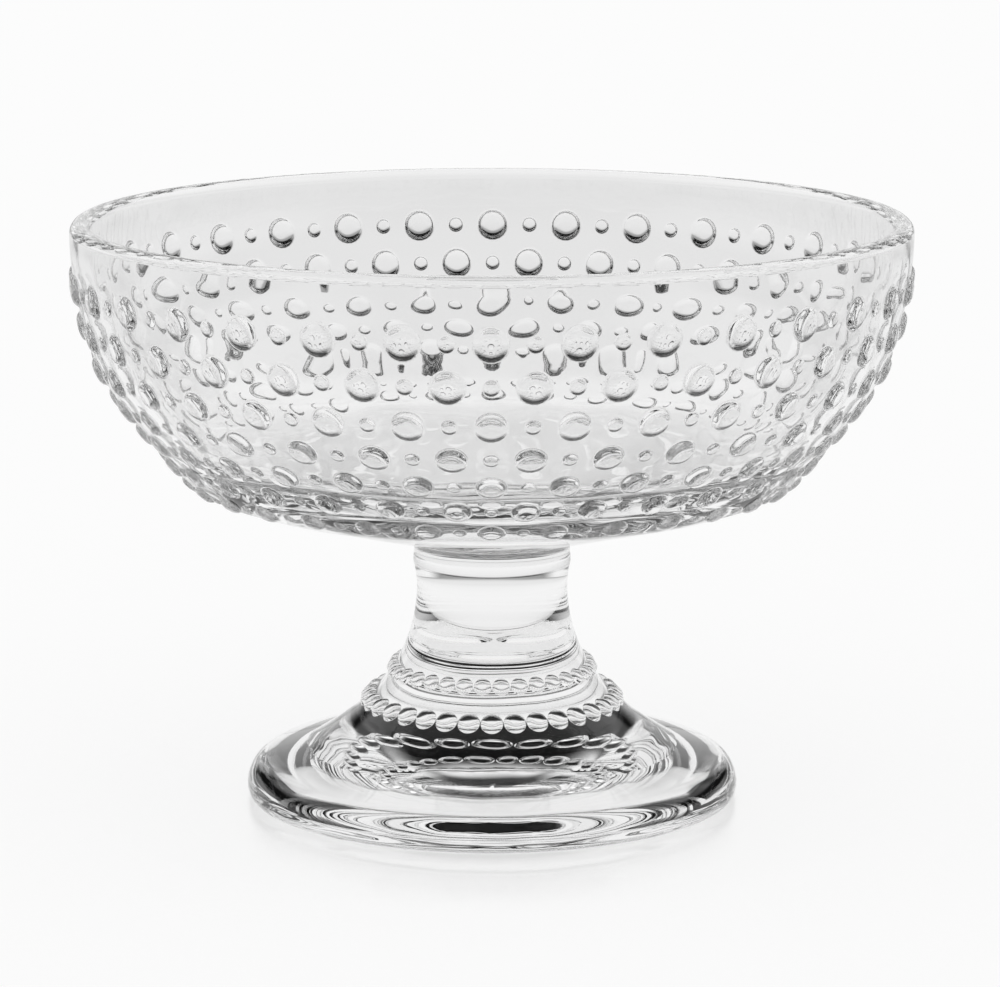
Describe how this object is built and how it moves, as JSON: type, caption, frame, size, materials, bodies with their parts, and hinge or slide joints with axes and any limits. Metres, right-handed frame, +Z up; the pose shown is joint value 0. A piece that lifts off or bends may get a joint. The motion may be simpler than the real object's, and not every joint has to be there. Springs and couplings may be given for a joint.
{
  "type": "footed serving bowl",
  "caption": "Round clear pressed-glass bowl with hobnail relief on a flared stem and foot, fused together, for serving food or sweets.",
  "frame": {"origin": "centre of the flat ring that the foot stands on, at table level", "axes": "+Z up along the axis that the bowl, stem and foot are turned about; X and Y lie in the table's plane, and the picture looks along +Y"},
  "size_m": [0.151, 0.151, 0.105],
  "materials": {
    "clear_glass": "clear colourless pressed glass, fire polished, smooth and glossy"
  },
  "bodies": {
    "root": {"pedestal": "clear_glass", "joining_wafer": "clear_glass", "bowl": "clear_glass"}
  },
  "joints": []
}
